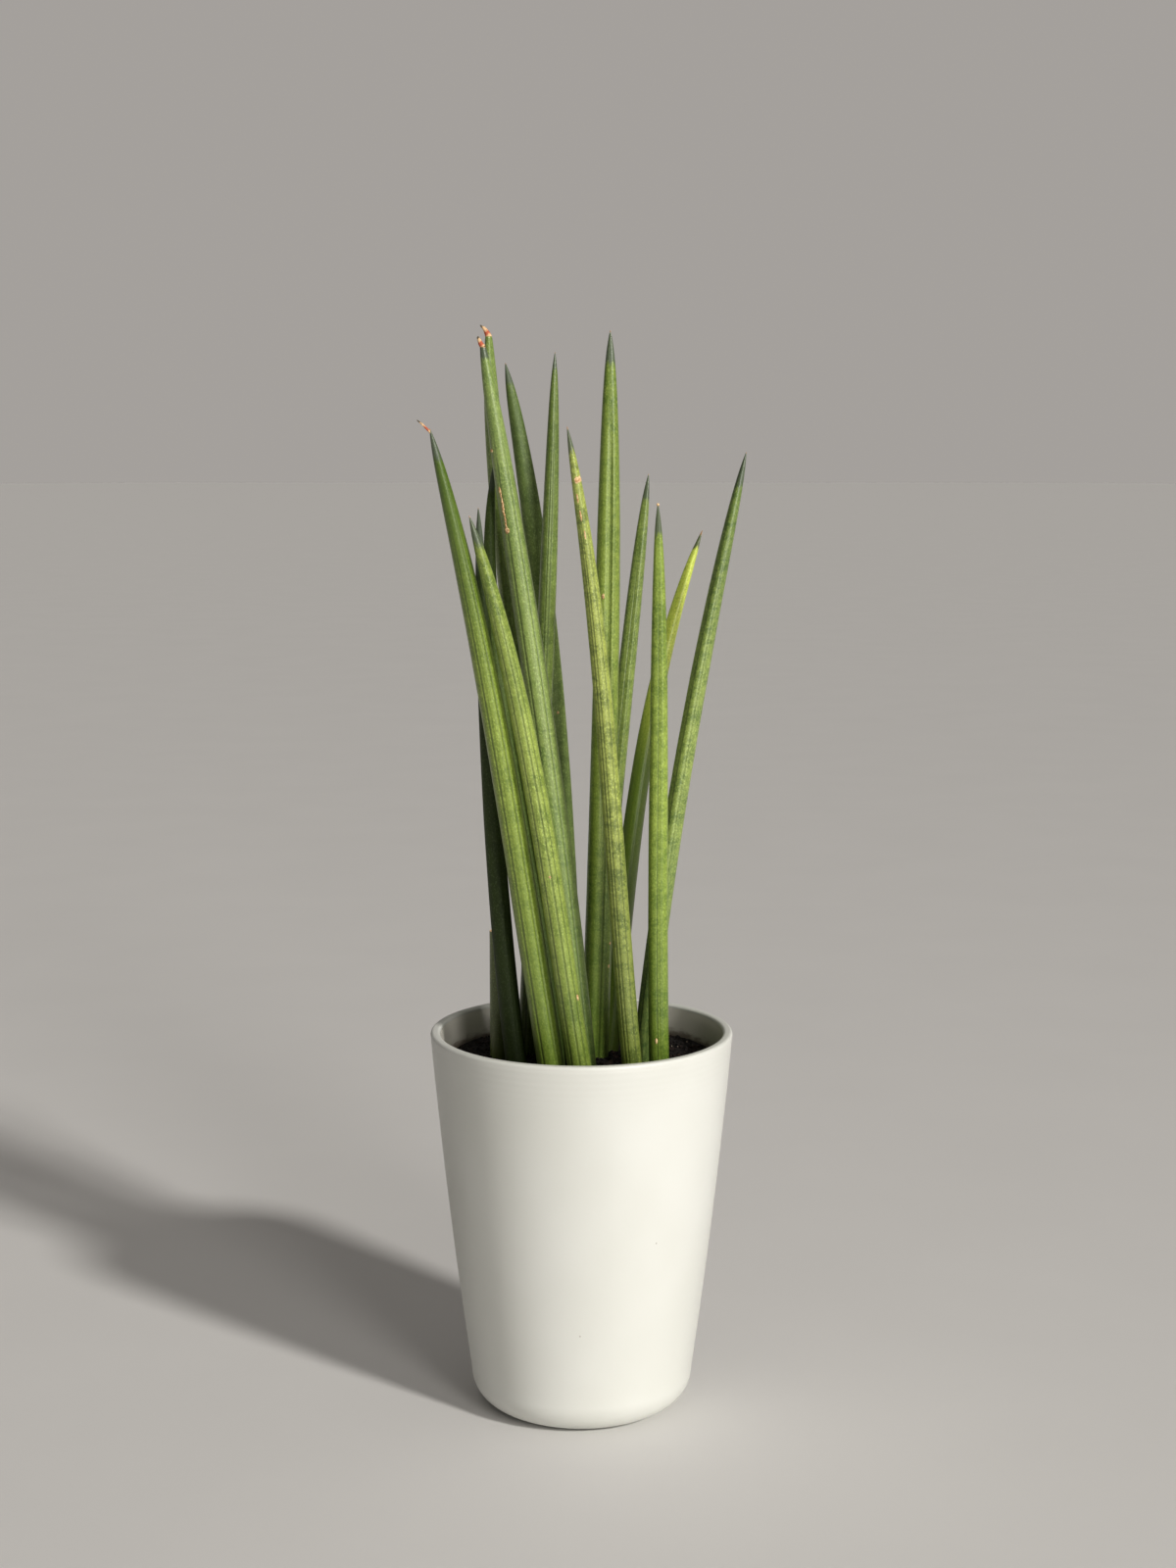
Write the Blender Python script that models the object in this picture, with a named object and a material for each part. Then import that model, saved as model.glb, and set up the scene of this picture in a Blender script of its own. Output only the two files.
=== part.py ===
"""Potted cylindrical snake plant: a white ceramic pot, its soil and fifteen round leaves.

Frame: +Z up, origin at the middle of the pot's base, -Y towards the viewer, +X to the right.
Lengths are written in millimetres and turned to metres where a mesh is made.
"""

import math

import bmesh
import bpy
from mathutils import Matrix, Vector

MM = 0.001
GAP = 0.35
MERGE_DISTANCE = 0.001

# Edges sharper than these angles, in degrees, are drawn hard
POT_SHARP_ANGLE = 40
LEAF_SHARP_ANGLE = 60

# Pot: outer sizes first, then its wall
POT_HEIGHT = 178.0
RIM_RADIUS = 70.0
FOOT_RADIUS = 49.5
WALL_BULGE = 1.3
FOOT_ROUNDING = 16.0
RIM_ROUNDING = 1.5
WALL_THICKNESS = 4.4
FLOOR_THICKNESS = 6.0
INNER_ROUNDING = 12.0
POT_SEGMENTS = 56
FOOT_STEPS = 7
WALL_STEPS = 7
RIM_STEPS = 3
INNER_FOOT_STEPS = 4

# Soil: it fills the pot, and its top is a little uneven
SOIL_DEPTH_BELOW_RIM = 14.7
SOIL_LEVEL = POT_HEIGHT - SOIL_DEPTH_BELOW_RIM
SOIL_UNEVENNESS = 0.7
SOIL_SEGMENTS = 40
SOIL_TOP_RINGS = 7
SOIL_SIDE_STEPS = 4

# Leaves: how they are rooted and how fine their mesh is
ROOT_DEPTH = 22.0
ROOT_END_SHARE = 0.9
LEAF_SIDES = 16
LEAF_STATIONS = 17
TIP_CROWDING = 1.6
TIP_RADIUS = 0.3
NEEDLE_LENGTH = 5.0
NEEDLE_SHARE = 0.6
CHANNEL_DEPTH = 0.13
CHANNEL_AT_FOOT = 0.3
CHANNEL_HALF_WIDTH = math.radians(32)

# Each leaf: thickness at the foot, length over which the tip tapers, height of the tip above the
# base of the pot, direction that its channel faces, and the places (x, y) of its middle at the
# foot, at one third of its height, at two thirds and at the tip.
LEAVES = {
    "leaf_left_front": (13.0, 130, 453, 60, ((-13.0, -27), (-27.5, -32), (-43.5, -40), (-64.5, -52))),
    "leaf_middle_front": (11.3, 85, 416, 80, ((0.0, -33), (-12.5, -37), (-27.0, -42), (-48.0, -50))),
    "leaf_mottled_front": (9.5, 110, 454, 120, ((23.5, -30), (15.5, -33), (7.5, -37), (-6.0, -44))),
    "leaf_right_front": (9.5, 100, 421, -96, ((35.5, -22), (34.5, -24), (34.5, -27), (33.5, -32))),
    "leaf_scarred": (12.1, 90, 489, 75, ((1.0, -14), (-11.0, -15), (-26.0, -17), (-43.0, -22))),
    "leaf_tall_left": (11.5, 90, 494, -50, ((-8.0, 4), (-18.5, 1), (-32.5, -1), (-41.0, -6))),
    "leaf_back_left": (11.7, 80, 484, -70, ((-5.0, 30), (-9.5, 33), (-18.5, 38), (-35.5, 48))),
    "leaf_upright": (9.2, 100, 488, -60, ((-25.5, 9), (-20.5, 13), (-15.5, 16), (-12.0, 21))),
    "leaf_dark_left": (10.6, 130, 419, 25, ((-29.5, -14), (-37.5, -17), (-42.0, -22), (-45.0, -30))),
    "leaf_hidden_left": (9.2, 110, 439, 30, ((-11.5, -13), (-23.8, -9), (-38.0, -8), (-38.5, -12))),
    "leaf_tall_right": (13.0, 110, 497, -90, ((6.0, 2), (9.5, 2), (12.0, 4), (13.0, 8))),
    "leaf_slim_right": (9.1, 80, 433, -110, ((3.0, 19), (12.0, 22), (21.0, 25), (31.0, 31))),
    "leaf_young_right": (10.2, 95, 407, -130, ((12.5, 14), (21.0, 17), (33.0, 22), (56.0, 32))),
    "leaf_far_right": (9.8, 95, 443, -150, ((28.0, -4), (39.5, -1), (55.0, 2), (74.5, 8))),
}

# The leaf that was cut off flat: thickness, height of the cut, channel and the middle of its foot
STUB_THICKNESS = 10.0
STUB_CUT_HEIGHT = 224.0
STUB_CHANNEL = 20
STUB_FOOT = (-37.5, 2)
STUB_STEPS = 3

LEAF_GREEN = (0.105, 0.190, 0.035, 1.0)
POT_WHITE = (0.760, 0.745, 0.700, 1.0)
SOIL_BROWN = (0.018, 0.013, 0.010, 1.0)


def clear_scene():
    for leftover in list(bpy.data.objects):
        bpy.data.objects.remove(leftover, do_unlink=True)


def plain_material(name, colour, roughness):
    material = bpy.data.materials.new(name)
    material.use_nodes = True
    shader = material.node_tree.nodes["Principled BSDF"]
    shader.inputs["Base Color"].default_value = colour
    shader.inputs["Roughness"].default_value = roughness
    shader.inputs["Metallic"].default_value = 0.0
    return material


def add_object(name, bm, material, sharp_angle):
    """Makes the bmesh, drawn in millimetres, an object of its own in metres."""
    bmesh.ops.scale(bm, vec=(MM, MM, MM), verts=bm.verts)
    bmesh.ops.recalc_face_normals(bm, faces=bm.faces)
    mesh = bpy.data.meshes.new(name)
    bm.to_mesh(mesh)
    bm.free()
    mesh.shade_smooth()
    mesh.set_sharp_from_angle(angle=math.radians(sharp_angle))
    mesh.materials.append(material)
    part = bpy.data.objects.new(name, mesh)
    bpy.context.scene.collection.objects.link(part)
    return part


def wall_radius(height):
    """Outer radius of the pot's wall, which is a little fuller than a straight cone."""
    share = height / POT_HEIGHT
    straight = FOOT_RADIUS + (RIM_RADIUS - FOOT_RADIUS) * share
    return straight + 4.0 * WALL_BULGE * share * (1.0 - share)


def inner_radius(height):
    return wall_radius(height) - WALL_THICKNESS


def arc(middle_radius, middle_height, radius, start, end, steps):
    """Points (radius, height) on an arc, with angles in degrees from straight outwards."""
    points = []
    for step in range(steps + 1):
        angle = math.radians(start + (end - start) * step / steps)
        points.append((middle_radius + radius * math.cos(angle), middle_height + radius * math.sin(angle)))
    return points


def wall_heights(low, high, steps):
    """Heights strictly between low and high, evenly spaced."""
    return [low + (high - low) * step / (steps + 1) for step in range(1, steps + 1)]


def pot_profile():
    """The pot's section from the middle of its base, up the outside, over the rim and down inside."""
    foot_middle = wall_radius(FOOT_ROUNDING) - FOOT_ROUNDING
    rim_top = POT_HEIGHT - RIM_ROUNDING
    inner_floor = FLOOR_THICKNESS
    inner_foot_height = inner_floor + INNER_ROUNDING
    inner_foot_middle = inner_radius(inner_foot_height) - INNER_ROUNDING
    profile = [(0.0, 0.0)]
    profile += arc(foot_middle, FOOT_ROUNDING, FOOT_ROUNDING, -90, 0, FOOT_STEPS)
    profile += [(wall_radius(z), z) for z in wall_heights(FOOT_ROUNDING, rim_top, WALL_STEPS)]
    profile += arc(wall_radius(rim_top) - RIM_ROUNDING, rim_top, RIM_ROUNDING, 0, 90, RIM_STEPS)
    profile += arc(inner_radius(rim_top) + RIM_ROUNDING, rim_top, RIM_ROUNDING, 90, 180, RIM_STEPS)
    profile += [(inner_radius(z), z) for z in wall_heights(rim_top, inner_foot_height, WALL_STEPS)]
    profile += arc(inner_foot_middle, inner_foot_height, INNER_ROUNDING, 0, -90, INNER_FOOT_STEPS)
    profile.append((0.0, inner_floor))
    return profile


def spun(profile, segments):
    """A closed turned body of the profile, whose ends lie on the axis."""
    bm = bmesh.new()
    points = [bm.verts.new((radius, 0.0, height)) for radius, height in profile]
    edges = [bm.edges.new(pair) for pair in zip(points, points[1:])]
    bmesh.ops.spin(
        bm,
        geom=points + edges,
        cent=(0, 0, 0),
        axis=(0, 0, 1),
        angle=math.tau,
        steps=segments,
        use_merge=True,
    )
    bmesh.ops.remove_doubles(bm, verts=bm.verts, dist=MERGE_DISTANCE)
    return bm


def make_pot():
    glaze = plain_material("white_glazed_ceramic", POT_WHITE, 0.35)
    return add_object("pot", spun(pot_profile(), POT_SEGMENTS), glaze, POT_SHARP_ANGLE)


def soil_height(x, y):
    """A gently uneven top, from three crossed waves."""
    waves = math.sin(0.21 * x + 0.4) + math.sin(0.17 * y - 0.13 * x) + math.sin(0.26 * y + 1.1)
    return SOIL_LEVEL + SOIL_UNEVENNESS * waves / 3.0


def soil_profile():
    """The soil's section: it follows the pot's inside, a gap away from the wall."""
    floor = FLOOR_THICKNESS + GAP
    rounding = INNER_ROUNDING
    foot_height = floor + rounding
    foot_middle = inner_radius(foot_height) - GAP - rounding
    edge = inner_radius(SOIL_LEVEL) - 2.0 * GAP
    profile = [(0.0, floor)]
    profile += arc(foot_middle, foot_height, rounding, -90, 0, INNER_FOOT_STEPS)
    for height in wall_heights(foot_height, SOIL_LEVEL, SOIL_SIDE_STEPS):
        profile.append((inner_radius(height) - 2.0 * GAP, height))
    for ring in range(SOIL_TOP_RINGS + 1):
        profile.append((edge * (1.0 - ring / SOIL_TOP_RINGS), SOIL_LEVEL))
    return profile


def make_soil():
    earth = plain_material("potting_soil", SOIL_BROWN, 0.95)
    bm = spun(soil_profile(), SOIL_SEGMENTS)
    for vert in bm.verts:
        if vert.co.z > SOIL_LEVEL - MERGE_DISTANCE:
            vert.co.z = soil_height(vert.co.x, vert.co.y)
    return add_object("soil", bm, earth, POT_SHARP_ANGLE)


def through_four(points, share):
    """The smooth curve through four evenly spaced points, at a share of its height from 0 to 1."""
    first, second, third, last = (Vector(point) for point in points)
    a = -4.5 * (share - 1 / 3) * (share - 2 / 3) * (share - 1)
    b = 13.5 * share * (share - 2 / 3) * (share - 1)
    c = -13.5 * share * (share - 1 / 3) * (share - 1)
    d = 4.5 * share * (share - 1 / 3) * (share - 2 / 3)
    return first * a + second * b + third * c + last * d


def taper(from_tip, taper_length):
    """Share of its full thickness that a leaf has at this distance from its tip."""
    reach = from_tip / taper_length
    needle = 1.0 - NEEDLE_SHARE * math.exp(-from_tip / NEEDLE_LENGTH)
    return needle * math.sqrt(reach / math.sqrt(1.0 + reach * reach))


def channelled(angle, facing, strength):
    """Share of the radius at this angle, where a shallow channel runs along the side that it faces."""
    off = (angle - facing + math.pi) % math.tau - math.pi
    return 1.0 - CHANNEL_DEPTH * strength * math.exp(-((off / CHANNEL_HALF_WIDTH) ** 2))


def place_ring(verts, old_middle, station, facing):
    """Moves a ring of points, each at its own angle round the old middle, to the next station."""
    middle, radius, strength = station
    for vert in verts:
        angle = math.atan2(vert.co.y - old_middle.y, vert.co.x - old_middle.x)
        reach = radius * channelled(angle, facing, strength)
        vert.co = middle + Vector((reach * math.cos(angle), reach * math.sin(angle), 0.0))


def leaf_body(stations, facing, pointed):
    """A closed leaf through its stations (middle, radius, strength of the channel)."""
    bm = bmesh.new()
    bmesh.ops.create_circle(bm, segments=LEAF_SIDES, radius=1.0)
    verts = bm.verts[:]
    edges = bm.edges[:]
    bottom = edges
    place_ring(verts, Vector((0.0, 0.0, 0.0)), stations[0], facing)
    for below, station in zip(stations, stations[1:]):
        raised = bmesh.ops.extrude_edge_only(bm, edges=edges)["geom"]
        verts = [item for item in raised if isinstance(item, bmesh.types.BMVert)]
        edges = [edge for edge in raised if isinstance(edge, bmesh.types.BMEdge) and edge.is_boundary]
        place_ring(verts, below[0], station, facing)
    bmesh.ops.contextual_create(bm, geom=bottom)
    if pointed:
        bmesh.ops.pointmerge(bm, verts=verts, merge_co=stations[-1][0])
    else:
        bmesh.ops.contextual_create(bm, geom=edges)
    return bm


def leaf_stations(thickness, taper_length, tip_height, places):
    """Stations from the root's end up to the tip, closer together towards the tip."""
    height = tip_height - SOIL_LEVEL
    foot_radius = 0.5 * thickness * taper(height, taper_length)
    root_end = Vector((*places[0], SOIL_LEVEL - ROOT_DEPTH))
    stations = [(root_end, ROOT_END_SHARE * foot_radius, 0.0)]
    for step in range(LEAF_STATIONS + 1):
        from_tip = height * (1.0 - step / LEAF_STATIONS) ** TIP_CROWDING
        share = 1.0 - from_tip / height
        radius = max(0.5 * thickness * taper(from_tip, taper_length), TIP_RADIUS)
        middle = through_four(places, share)
        channel = min(1.0, CHANNEL_AT_FOOT + share)
        stations.append((Vector((*middle, SOIL_LEVEL + share * height)), radius, channel))
    return stations


def make_leaf(name, row, material):
    """One whole leaf; it returns the middle and the radius of its foot."""
    thickness, taper_length, tip_height, channel, places = row
    stations = leaf_stations(thickness, taper_length, tip_height, places)
    add_object(name, leaf_body(stations, math.radians(channel), True), material, LEAF_SHARP_ANGLE)
    return places[0], stations[1][1]


def make_stub(material):
    """The leaf that was cut off: straight, with a flat top."""
    radius = 0.5 * STUB_THICKNESS
    root_end = Vector((*STUB_FOOT, SOIL_LEVEL - ROOT_DEPTH))
    stations = [(root_end, ROOT_END_SHARE * radius, 0.0)]
    for step in range(STUB_STEPS + 1):
        height = SOIL_LEVEL + (STUB_CUT_HEIGHT - SOIL_LEVEL) * step / STUB_STEPS
        stations.append((Vector((*STUB_FOOT, height)), radius, CHANNEL_AT_FOOT))
    body = leaf_body(stations, math.radians(STUB_CHANNEL), False)
    add_object("leaf_cut_stub", body, material, LEAF_SHARP_ANGLE)
    return STUB_FOOT, radius


def cut_planting_holes(soil, feet):
    """A plain round hole in the soil for each leaf, a gap wider than the leaf's foot."""
    bm = bmesh.new()
    low = SOIL_LEVEL - ROOT_DEPTH - GAP
    high = SOIL_LEVEL + 4.0 * SOIL_UNEVENNESS
    for foot, radius in feet:
        bmesh.ops.create_cone(
            bm,
            cap_ends=True,
            segments=LEAF_SIDES,
            radius1=radius + GAP,
            radius2=radius + GAP,
            depth=high - low,
            matrix=Matrix.Translation((foot[0], foot[1], 0.5 * (low + high))),
        )
    cutter = add_object("planting_holes_cutter", bm, soil.data.materials[0], POT_SHARP_ANGLE)
    cutter.hide_render = True
    cutter.display_type = "WIRE"
    holes = soil.modifiers.new("planting_holes", "BOOLEAN")
    holes.operation = "DIFFERENCE"
    holes.object = cutter


def main():
    clear_scene()
    make_pot()
    soil = make_soil()
    leaf_skin = plain_material("snake_plant_leaf", LEAF_GREEN, 0.45)
    feet = [make_leaf(name, row, leaf_skin) for name, row in LEAVES.items()]
    feet.append(make_stub(leaf_skin))
    cut_planting_holes(soil, feet)


main()
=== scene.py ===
import math
import random

import bmesh
import bpy
from mathutils import Matrix, Vector, noise


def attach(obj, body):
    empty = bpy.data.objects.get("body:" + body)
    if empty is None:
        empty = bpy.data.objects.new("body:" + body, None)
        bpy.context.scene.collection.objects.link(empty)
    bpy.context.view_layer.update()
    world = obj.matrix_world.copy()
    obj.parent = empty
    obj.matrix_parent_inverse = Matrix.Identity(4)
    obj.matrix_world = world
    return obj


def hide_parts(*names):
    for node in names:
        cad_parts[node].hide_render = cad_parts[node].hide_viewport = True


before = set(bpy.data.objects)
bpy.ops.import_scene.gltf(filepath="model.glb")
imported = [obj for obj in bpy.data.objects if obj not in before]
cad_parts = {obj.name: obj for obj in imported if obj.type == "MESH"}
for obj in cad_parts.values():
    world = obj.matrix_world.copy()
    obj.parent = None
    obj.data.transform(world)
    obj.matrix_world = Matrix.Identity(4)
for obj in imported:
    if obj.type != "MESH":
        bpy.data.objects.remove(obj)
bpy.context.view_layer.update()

# Potted cylindrical snake plant: the finished look of the pot, the soil and the fifteen leaves.
# Shapes are drawn in millimetres and turned to metres where a mesh is made.
MM = 0.001
MERGE_DISTANCE = 0.0005

# Edges sharper than these angles, in degrees, are drawn hard
SHARP_ANGLE = 40
LEAF_SHARP_ANGLE = 60
SOIL_SHARP_ANGLE = 35

# Pot, with the same sizes as its solid and a finer mesh
POT_HEIGHT = 178.0
RIM_RADIUS = 70.0
FOOT_RADIUS = 49.5
WALL_BULGE = 1.3
FOOT_ROUNDING = 16.0
RIM_ROUNDING = 1.5
WALL_THICKNESS = 4.4
FLOOR_THICKNESS = 6.0
INNER_ROUNDING = 12.0
POT_SEGMENTS = 180
FOOT_STEPS = 20
WALL_STEPS = 40
RIM_STEPS = 8
INNER_FOOT_STEPS = 8

# Soil: depth below the rim and clearance to the wall
SOIL_DEPTH_BELOW_RIM = 14.7
SOIL_LEVEL = POT_HEIGHT - SOIL_DEPTH_BELOW_RIM
SOIL_CLEARANCE = 0.5
SOIL_SEGMENTS = 120
SOIL_TOP_RINGS = 40
SOIL_SIDE_STEPS = 4

# Its top: height of the swells and of the crumble, how many of each there are a millimetre, and the
# height and width of the collar of earth round each leaf
SOIL_SWELL = 1.0
SOIL_CRUMBLE = 0.45
SWELLS_A_MILLIMETRE = 0.045
CRUMBLES_A_MILLIMETRE = 0.35
EARTH_COLLAR = 1.2
EARTH_COLLAR_WIDTH = 3.0

# Leaves: mesh, root and tip
LEAF_SIDES = 128
LEAF_RINGS = 130
TIP_CROWDING = 1.5
ROOT_DEPTH = 22.0
ROOT_END_SHARE = 0.9
NEEDLE_LENGTH = 5.0
NEEDLE_SHARE = 0.6
THICKNESS_WOBBLE = 0.012
WOBBLE_LENGTH = 22.0

# The channel along one side of a leaf, and the fine furrows round it
CHANNEL_DEPTH = 0.13
CHANNEL_AT_FOOT = 0.3
CHANNEL_HALF_WIDTH = math.radians(32)
FURROW_COUNT = 6
FURROW_DEPTH = 0.05
FURROW_HALF_WIDTH = math.radians(4.2)
FURROW_FADE_IN = 40.0
FURROW_FADE_OUT = 60.0

# How far a fine furrow strays from its even place round the leaf, how far it drifts up the leaf, how
# strong it may be, and where below the tip it may start and stop
FURROW_STRAY = 0.35
FURROW_DRIFT = 0.15
FURROW_STRENGTHS = (0.15, 0.25, 0.35)
FURROW_STARTS = (8.0, 60.0)
FURROW_STOPS = (150.0, 400.0)
DEEP_FURROW_DRIFT = 0.1
DEEP_FURROW_REACH = (25.0, 420.0)

# Directions in degrees that the deepest furrows of some leaves face
DEEP_FURROWS = {
    "leaf_left_front": (-62, -118),
    "leaf_middle_front": (-125, -84, -50),
    "leaf_mottled_front": (-124, -104, -60),
    "leaf_right_front": (-99,),
    "leaf_scarred": (-118, -62),
    "leaf_upright": (-104, -76),
    "leaf_tall_right": (-72,),
    "leaf_slim_right": (-97,),
    "leaf_far_right": (-132,),
}

# Deeper grooves, one a leaf: direction that each faces and half its width, in degrees, and its depth
# as a share of the leaf's radius
GROOVES = {
    "leaf_tall_right": (-86, 14, 0.130),
    "leaf_slim_right": (-88, 11, 0.090),
    "leaf_right_front": (-86, 8, 0.050),
    "leaf_far_right": (-84, 8, 0.050),
}
GROOVE_START = 30.0
GROOVE_FADE_IN = 40.0

# Leaves whose tip died back and ends blunt: how much of the tip is gone, in millimetres
BLUNT_TIPS = {"leaf_scarred": 3.5, "leaf_tall_left": 6.0}
BLUNT_ROUNDING = 0.8

# Each leaf: thickness at the foot, length over which the tip tapers, height of the tip above the
# base of the pot, direction that its channel faces, and the places (x, y) of its middle at the
# foot, at one third of its height, at two thirds and at the tip.
LEAVES = {
    "leaf_left_front": (13.0, 130, 453, 60, ((-13.0, -27), (-27.5, -32), (-43.5, -40), (-64.5, -52))),
    "leaf_middle_front": (11.3, 85, 416, 80, ((0.0, -33), (-12.5, -37), (-27.0, -42), (-48.0, -50))),
    "leaf_mottled_front": (9.5, 110, 454, 120, ((23.5, -30), (15.5, -33), (7.5, -37), (-6.0, -44))),
    "leaf_right_front": (9.5, 100, 421, -96, ((35.5, -22), (34.5, -24), (34.5, -27), (33.5, -32))),
    "leaf_scarred": (12.1, 90, 489, 75, ((1.0, -14), (-11.0, -15), (-26.0, -17), (-43.0, -22))),
    "leaf_tall_left": (11.5, 90, 494, -50, ((-8.0, 4), (-18.5, 1), (-32.5, -1), (-41.0, -6))),
    "leaf_back_left": (11.7, 80, 484, -70, ((-5.0, 30), (-9.5, 33), (-18.5, 38), (-35.5, 48))),
    "leaf_upright": (9.2, 100, 488, -60, ((-25.5, 9), (-20.5, 13), (-15.5, 16), (-12.0, 21))),
    "leaf_dark_left": (10.6, 130, 419, 25, ((-29.5, -14), (-37.5, -17), (-42.0, -22), (-45.0, -30))),
    "leaf_hidden_left": (9.2, 110, 439, 30, ((-11.5, -13), (-23.8, -9), (-38.0, -8), (-38.5, -12))),
    "leaf_tall_right": (13.0, 110, 497, -90, ((6.0, 2), (9.5, 2), (12.0, 4), (13.0, 8))),
    "leaf_slim_right": (9.1, 80, 433, -110, ((3.0, 19), (12.0, 22), (21.0, 25), (31.0, 31))),
    "leaf_young_right": (10.2, 95, 407, -130, ((12.5, 14), (21.0, 17), (33.0, 22), (56.0, 32))),
    "leaf_far_right": (9.8, 95, 443, -150, ((28.0, -4), (39.5, -1), (55.0, 2), (74.5, 8))),
    "leaf_cut_stub": (10.0, 0, 224, 20, ((-37.5, 2), (-37.5, 2), (-37.5, 2), (-37.5, 2))),
}

# The dried cut of the stub: width of its rim, and width and depth of the slope inside the rim
CUT_RIM = 0.7
CUT_SLOPE = 0.4
CUT_SINK = 0.6

# Skin of each leaf: its green, the green of its bands, how strong the bands are from 0 to 1, how
# much of the bands' green the whole skin takes on towards the tip, and the lengths in millimetres
# of its blue-grey point and of its dry end
LEAF_LOOKS = {
    "leaf_left_front": ("#93a54a", "#4a6616", 0.45, 0.85, 14, 0.8),
    "leaf_middle_front": ("#a5b55c", "#526c1c", 0.60, 0.30, 14, 0.8),
    "leaf_mottled_front": ("#a8b35e", "#4e6222", 0.72, 0.00, 12, 1.5),
    "leaf_right_front": ("#9db050", "#466812", 0.58, 0.20, 14, 0.8),
    "leaf_scarred": ("#98aa64", "#506e2c", 0.50, 0.25, 6, 0.8),
    "leaf_tall_left": ("#98aa60", "#4e6a28", 0.50, 0.35, 0, 0.0),
    "leaf_back_left": ("#7a8c4e", "#40562a", 0.50, 0.40, 10, 0.6),
    "leaf_upright": ("#82944c", "#465c20", 0.55, 0.40, 8, 0.6),
    # The near-black green of this leaf is painted shade from the leaves in front of it, over a dark
    # green of its own
    "leaf_dark_left": ("#3a4a1a", "#24320c", 0.45, 0.50, 30, 0.6),
    "leaf_hidden_left": ("#56682e", "#304214", 0.45, 0.40, 14, 0.6),
    "leaf_tall_right": ("#93a44c", "#48681e", 0.55, 0.30, 16, 0.8),
    "leaf_slim_right": ("#92a25a", "#4a642c", 0.58, 0.20, 13, 0.6),
    # The young leaf's pale yellow-green is partly painted light on its upper part
    "leaf_young_right": ("#d4e26a", "#3f5e12", 0.10, 0.00, 9, 2.5),
    "leaf_far_right": ("#9cac60", "#40602c", 0.75, 0.45, 17, 0.6),
    "leaf_cut_stub": ("#64742e", "#425216", 0.30, 0.00, 0, 0.0),
}
POINT_GREY = "#5f6a58"
DRY_TAN = "#c79a6c"
# Painted shade laid in the furrows of a leaf, darker the deeper the furrow
FURROW_SHADE = "#2c3a10"

# The deeper green of a leaf's foot: where it starts and where it is in full, as shares of the way
# down from the tip, and how much of the bands' green it takes on
FOOT_GREEN = (0.45, 1.0, 0.50)
# On the young leaf this green starts far higher up: a painted shadow of the leaves in front of it
PAINTED_SHADOW_ON_THE_YOUNG_LEAF = (0.22, 0.46, 0.85)
YOUNG_LEAF = "leaf_young_right"

# Shine of a leaf's skin, and of the leaves whose wax has dulled: its roughness from and to, the
# weight of the clear wax and how much the skin under it mirrors
LEAF_IOR = 1.62
WAX_ROUGHNESS = 0.26
WAXY_SHINE = (0.32, 0.45, 0.4, 0.5)
DULL_SHINE = (0.48, 0.60, 0.0, 0.3)
DULL_LEAVES = ("leaf_back_left", "leaf_dark_left", "leaf_hidden_left")

# Dried ends that curl over from a tip: how far below the tip each starts, where it bends and stops,
# in millimetres from the tip, and its thickness where it bends and where it stops
DRY_CURLS = {
    "leaf_left_front": (2.0, (-2.2, -0.3, 1.2), (-5.4, -0.8, 3.6), 1.0, 0.6),
    "leaf_scarred": (0.6, (-1.4, -0.2, 1.6), (-2.0, -0.4, 4.0), 1.7, 1.2),
    "leaf_tall_left": (0.6, (-0.8, 0.0, 2.6), (-3.8, -0.4, 4.6), 1.8, 0.8),
}

# A dried end starts this much wider than the leaf's radius there, is this thick against its width,
# is pinched this strongly and this often, and the higher the last number, the blunter its end
CURL_SIDES = 14
CURL_RINGS = 28
CURL_START_WIDTH = 2.1
CURL_FLATNESS = 0.8
CURL_PINCH = 0.4
CURL_PINCHES = 5.0
CURL_BLUNTNESS = 8

# Scabs and pale specks on a leaf: distance below the tip, direction that the place faces in
# degrees, and the length, width and height of the scab
SCABS = {
    "leaf_scarred": ((45.5, -148, 1.4, 1.8, 0.35), (80.3, -120, 3.0, 2.2, 0.55)),
    "leaf_middle_front": ((158.9, -89, 1.3, 1.0, 0.20), (214.2, -40, 2.6, 1.2, 0.25)),
    "leaf_back_left": ((161.9, -65, 1.2, 1.1, 0.20),),
    "leaf_tall_right": (
        (118.7, -114, 2.4, 1.4, 0.40), (278.2, -33, 1.4, 1.2, 0.25), (288.8, -36, 1.6, 1.2, 0.25),
    ),
    "leaf_mottled_front": (
        (22.6, -46, 2.8, 1.9, 0.20), (23.0, -86, 3.0, 2.0, 0.20), (31.0, -108, 4.5, 0.9, 0.15),
        (38.5, -100, 5.0, 0.8, 0.12), (46.5, -86, 4.0, 0.7, 0.12),
    ),
    "leaf_right_front": ((242.1, -107, 2.9, 1.1, 0.30), (0.8, -90, 1.4, 1.2, 0.50)),
}
SCAB_LUMPS = 1.7
SCAB_UNEVENNESS = 0.45

# A long healed scratch: its leaf, its two ends below the tip, the directions that they face, how far
# a flake of it may stray, and the smallest and largest length, width and height of a flake
SCAR_LINE_LEAF = "leaf_scarred"
SCAR_LINE_ENDS = (62.0, 79.0)
SCAR_LINE_FACING = (-126.0, -121.0)
SCAR_LINE_STRAY = 3.0
SCAR_LINE_FLAKES = 16
SCAR_FLAKE_SIZES = ((1.2, 2.4), (0.7, 1.3), (0.2, 0.35))

# Crumbs of soil: how many, smallest and largest size, thickness against length, width against
# length, and which of the soil's materials
CRUMBS = {
    "peat": (2600, 1.0, 2.6, 0.75, 0.85, 0),
    "bark": (300, 2.8, 6.5, 0.30, 0.55, 1),
    "fibre": (120, 5.0, 11.0, 0.07, 0.08, 1),
    "pumice": (26, 1.0, 2.2, 0.80, 0.90, 2),
}
CRUMBS_IN_A_BATCH = 100

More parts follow.
